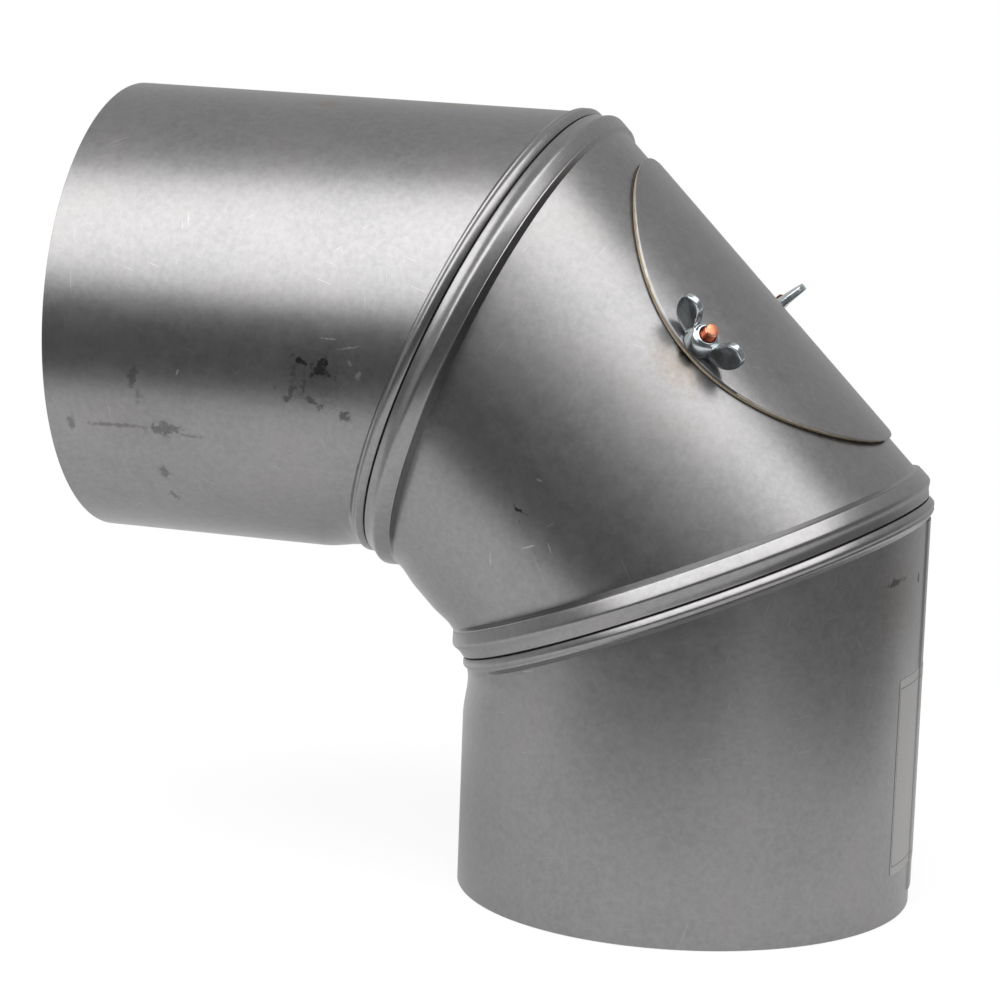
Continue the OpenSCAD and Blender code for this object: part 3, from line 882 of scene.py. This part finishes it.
def copper_look():
    """Copper plate on a steel stud, with a painted highlight on the flat tip and painted shade on the
    threads.
    """
    look = Look("stud_copper_plate")
    coords = look.add("ShaderNodeTexCoord").outputs["Object"]
    cloud = look.noise(coords, 500.0, 3.0)
    bright = look.blend(look.ramp(cloud, 0.35, 0.7), (0.72, 0.33, 0.2, 1), (0.58, 0.22, 0.125, 1))
    x, y, _ = look.split(look.moved(coords, *place_inputs(HATCH_PLACE), (MM, MM, MM)))
    # Painted light: this mask gives the flat tip a bright copper as if lit from above, and the threaded
    # sides a dark copper as painted shade
    tip = look.ramp(look.length(x, y), PIPE_R + STUD_TIP - 1.2, PIPE_R + STUD_TIP - 0.25)
    colour = look.blend(tip, (0.3, 0.075, 0.04, 1), bright)
    rough = look.ramp(cloud, 0.3, 0.7, 0.28, 0.42)
    return look.finish(colour, 1.0, rough, look.bump(cloud, 0.02 * MM, 0.4))


def label_look():
    """Blank silver-grey label with a thin printed frame."""
    look = Look("blank_label_film")
    x, y, _ = look.split(unrolled(look, LOWER_PLACE))
    left, right = (math.radians(a) * PIPE_R for a in (LABEL_LEFT, LABEL_RIGHT))
    inset, less_at_sides = 3.0, 2.2
    across = look.math("MINIMUM", look.math("SUBTRACT", x, left), look.math("SUBTRACT", right, x))
    up = look.math("MINIMUM", look.math("SUBTRACT", y, LABEL_LOW), look.math("SUBTRACT", LABEL_HIGH, y))
    nearest = look.math("MINIMUM", look.math("ADD", across, less_at_sides), up)
    line = look.ramp(look.math("ABSOLUTE", look.math("SUBTRACT", nearest, inset)), 0.2, 0.1)
    grain = look.noise(look.join(x, y), 1.4, 3.0)
    film = look.blend(look.ramp(grain, 0.3, 0.7), (0.33, 0.325, 0.32, 1), (0.39, 0.385, 0.375, 1))
    colour = look.blend(line, film, (0.1, 0.1, 0.1, 1))
    return look.finish(colour, 0.25, 0.5, look.bump(grain, 0.02 * MM, 0.3))


# Studio

WHITE = (1, 1, 1, 1)


def shows_background(look, straight, mirrored):
    """Share of the white background that rays see: straight to the camera, or by metal and glass."""
    rays = look.add("ShaderNodeLightPath").outputs
    by_metal = look.math("MAXIMUM", rays["Is Glossy Ray"], rays["Is Transmission Ray"])
    seen = look.math("MULTIPLY", rays["Is Camera Ray"], straight)
    return look.math("MAXIMUM", seen, look.math("MULTIPLY", by_metal, mirrored))


def floor():
    """Pale sheet under the elbow, which keeps its shadow."""
    z = -0.3
    left, right, front, back = -430.0, 300.0, -310.0, 330.0
    corners = [(left, front, z), (right, front, z), (right, back, z), (left, back, z)]
    piece = new_piece("floor", corners, [(0, 1, 2, 3)])
    look = Look("floor_paper")
    coords = look.add("ShaderNodeTexCoord").outputs["Object"]
    grain = look.noise(coords, 400.0, 3.0)
    look.put(look.shader.inputs["Base Color"], look.blend(grain, (0.77, 0.77, 0.77, 1), (0.8, 0.8, 0.8, 1)))
    look.shader.inputs["Roughness"].default_value = 0.9
    glow = look.add("ShaderNodeEmission", {"Color": WHITE, "Strength": 1.07}).outputs[0]
    share = shows_background(look, straight=0.8, mirrored=0.22)
    mixed = look.add("ShaderNodeMixShader", {0: share, 1: look.shader.outputs[0], 2: glow})
    look.tree.links.new(mixed.outputs[0], look.out.inputs["Surface"])
    piece.data.materials.append(look.material)


def studio_room():
    """World: a grey room, darker at the right and low in front, seen as white by the camera."""
    world = bpy.data.worlds.new("studio")
    world.use_nodes = True
    nodes = Nodes(world.node_tree)
    x, y, z = nodes.split(nodes.add("ShaderNodeTexCoord").outputs["Generated"])
    low_in_front = nodes.math("MULTIPLY", nodes.ramp(y, -0.1, -0.8), nodes.ramp(z, 0.6, 0.1))
    sides = nodes.blend(nodes.ramp(x, 0.5, 0.9), (0.59, 0.59, 0.59, 1), (0.28, 0.28, 0.285, 1))
    room = nodes.blend(low_in_front, sides, (0.14, 0.14, 0.145, 1))
    by_camera = nodes.add("ShaderNodeLightPath").outputs["Is Camera Ray"]
    colour = nodes.blend(by_camera, room, WHITE)
    shown = nodes.add("ShaderNodeBackground", {"Color": colour, "Strength": 1.0})
    out = nodes.add("ShaderNodeOutputWorld")
    nodes.tree.links.new(shown.outputs[0], out.inputs["Surface"])
    bpy.context.scene.world = world


def soft_box(name, target, direction, distance, shift, size, roll, radiance):
    """Rectangular lamp facing target from direction; shift and size are shares of the distance."""
    out = Vector(direction).normalized()
    across = (Vector((1, 0, 0)) - out * out.x).normalized()
    up = out.cross(across)
    centre = Vector(target) * MM + (out + across * shift[0] + up * shift[1]) * distance * MM
    long_side = across * math.cos(roll) + up * math.sin(roll)
    short_side = out.cross(long_side)
    lamp = bpy.data.lights.new(name, "AREA")
    lamp.shape = "RECTANGLE"
    lamp.size = size[0] * distance * MM
    lamp.size_y = size[1] * distance * MM
    lamp.energy = radiance * math.pi * lamp.size * lamp.size_y
    holder = bpy.data.objects.new(name, lamp)
    axes = Matrix((long_side, short_side, out)).transposed()
    holder.matrix_world = Matrix.Translation(centre) @ axes.to_4x4()
    holder.visible_camera = False
    bpy.context.scene.collection.objects.link(holder)


def camera():
    """Camera where the photograph was taken from, worked out from the elbow's outline."""
    place = Vector((331.1, -1242.9, 375.6)) * MM
    turn = [math.radians(v) for v in (79.08, -2.04, 18.22)]
    data = bpy.data.cameras.new("photo_camera")
    data.sensor_width = 36.0
    data.lens = 143.79
    data.clip_start, data.clip_end = 0.05, 20.0
    holder = bpy.data.objects.new("photo_camera", data)
    holder.location = place
    holder.rotation_euler = turn
    bpy.context.scene.collection.objects.link(holder)
    bpy.context.scene.camera = holder


# Build

# Each spot: degrees round the pipe, millimetres along it, half sizes in millimetres, its own turn in
# degrees, share of the new look, and for a tint its colour
BROWN = (0.2, 0.15, 0.1)
UPPER_MARKS = [
    (91.9, 90.4, (1.1, 4.2), -28, 0.95), (93.0, 95.3, (2.6, 4.6), 40, 0.9),
    (94.0, 98.3, (1.4, 1.8), 0, 0.8), (90.6, 98.0, (1.9, 1.3), 10, 0.85),
    (94.6, 87.0, (3.4, 1.6), 0, 0.45), (97.0, 90.6, (3.0, 1.3), -20, 0.6),
    (98.6, 80.6, (1.2, 0.9), 0, 0.6), (100.1, 85.6, (1.6, 3.6), 60, 0.55),
    (101.2, 93.0, (1.3, 5.0), -35, 0.5), (104.7, 104.0, (1.8, 2.2), 0, 0.55),
    (95.3, 101.2, (2.4, 0.8), 0, 0.4), (99.0, 31.8, (4.6, 1.8), -15, 0.5),
    (104.0, 33.4, (3.0, 1.4), 0, 0.28), (113.0, 8.2, (1.6, 3.0), 80, 0.35),
    (112.8, 24.0, (0.9, 12.0), 2, 0.32), (112.8, 41.0, (2.6, 6.0), 0, 0.42),
    (114.2, 50.0, (1.0, 4.0), 0, 0.3), (126.5, 37.4, (3.4, 2.0), 0, 0.4),
    (136.0, 38.2, (2.6, 1.8), 30, 0.35),
]
UPPER_TINTS = [
    (94.5, 95.0, (13.0, 15.0), 0, 0.35, (0.09, 0.09, 0.085)), (10.6, 74.3, (5.0, 9.0), 0, 0.35, BROWN),
    (2.0, 112.0, (7.0, 10.0), 0, 0.3, BROWN), (112.0, 30.0, (14.0, 24.0), 0, 0.12, (0.12, 0.11, 0.1)),
]
UPPER_LIGHTS = [
    (85.5, 98.6, (0.35, 3.2), 0, 0.9), (87.4, 105.0, (0.4, 4.0), 12, 0.6),
    (93.5, 108.9, (1.8, 1.2), 0, 0.7), (97.0, 47.3, (1.8, 0.4), -20, 0.8),
    (91.0, 106.0, (1.2, 0.6), 30, 0.6),
]
MIDDLE_MARKS = [(-95.4, -4.0, (0.9, 3.0), 18, 0.95), (-97.4, -6.0, (0.5, 0.4), 0, 0.5)]
# The second middle tint, dark brown beside the front stud, is a burn mark with painted shade from the notch
# under the wing nut's hub
MIDDLE_TINTS_AND_SHADE = [
    (-42.0, -1.0, (11.0, 15.0), 0, 0.4, BROWN), (-38.6, 1.6, (2.6, 6.0), 0, 0.9, (0.05, 0.035, 0.025)),
]
MIDDLE_LIGHTS = [
    (-86.7, -1.0, (0.5, 1.4), 20, 0.7), (-111.2, -8.4, (0.3, 3.0), -50, 0.35),
    (-100.0, -14.0, (0.3, 2.6), 65, 0.6), (-96.0, -18.5, (0.3, 2.4), -25, 0.55),
    (-91.5, -13.5, (0.3, 1.8), 80, 0.4),
]
LOWER_MARKS = [(-17.0, 114.2, (6.2, 1.3), 4, 0.62), (-2.8, 112.9, (1.0, 1.9), 0, 0.7)]
LOWER_TINTS = [(-16.0, 108.0, (26.0, 18.0), 0, 0.22, (0.16, 0.12, 0.08))]


def build_leg(side, length, lap_angle, place, look):
    """Sheet and lap layer of an end pipe."""
    slot = side + "_sheet"
    finish_piece(end_pipe(slot, length, place), side, slot, look, side + "_pipe")
    finish_piece(lap_layer(side + "_lap", length, lap_angle, place), side, slot, look)


def build_fastener(side_name, side, turn, copper, zinc):
    """Stud and wing nut at one side of the hatch."""
    stud = weld_stud(side_name + "_threaded_stud", side)
    finish_piece(stud, "middle", "stud_copper", copper, side_name + "_stud")
    nut = wing_nut(side_name + "_forged_nut", side, turn)
    finish_piece(nut, side_name + "_nut", "nut_zinc", zinc, side_name + "_wing_nut")


def build():
    """Every piece with its look, its body and the nodes that it replaces."""
    upper_look = sheet_look("upper_steel", UPPER_PLACE, 11.0, UPPER_MARKS, UPPER_TINTS, UPPER_LIGHTS)
    middle_look = sheet_look("middle_steel", MIDDLE_PLACE, 57.0, MIDDLE_MARKS, MIDDLE_TINTS_AND_SHADE, MIDDLE_LIGHTS)
    lower_look = sheet_look("lower_steel", LOWER_PLACE, 93.0, LOWER_MARKS, LOWER_TINTS)
    lid_look = sheet_look("lid_steel", MIDDLE_PLACE, 131.0)
    zinc, copper = zinc_look(), copper_look()

    build_leg("lower", LOWER_LEN, LOWER_LAP_ANGLE, LOWER_PLACE, lower_look)
    build_leg("upper", UPPER_LEN, UPPER_LAP_ANGLE, UPPER_PLACE, upper_look)
    finish_piece(middle_segment(), "middle", "middle_sheet", middle_look, "middle_segment")
    finish_piece(hatch_lid(lid_look, cut_edge_look()), "hatch", "lid_sheet", None, "hatch_lid")
    finish_piece(hatch_seal(), "hatch", "seal", seal_look(), "hatch_seal")
    build_fastener("front", -1, FRONT_NUT_TURN, copper, zinc)
    build_fastener("rear", 1, REAR_NUT_TURN, copper, zinc)
    finish_piece(sticker(), "lower", "lower_sheet", label_look())


camera()
build()
floor()
studio_room()
soft_box(
    "overhead_box",
    target=(-60, -30, 150),
    direction=(0.1, -0.6, 0.79),
    distance=1300,
    shift=(-0.027, 0.239),
    size=(2.27, 1.107),
    roll=0.605,
    radiance=2.75,
)
bpy.context.scene.view_settings.view_transform = "Standard"
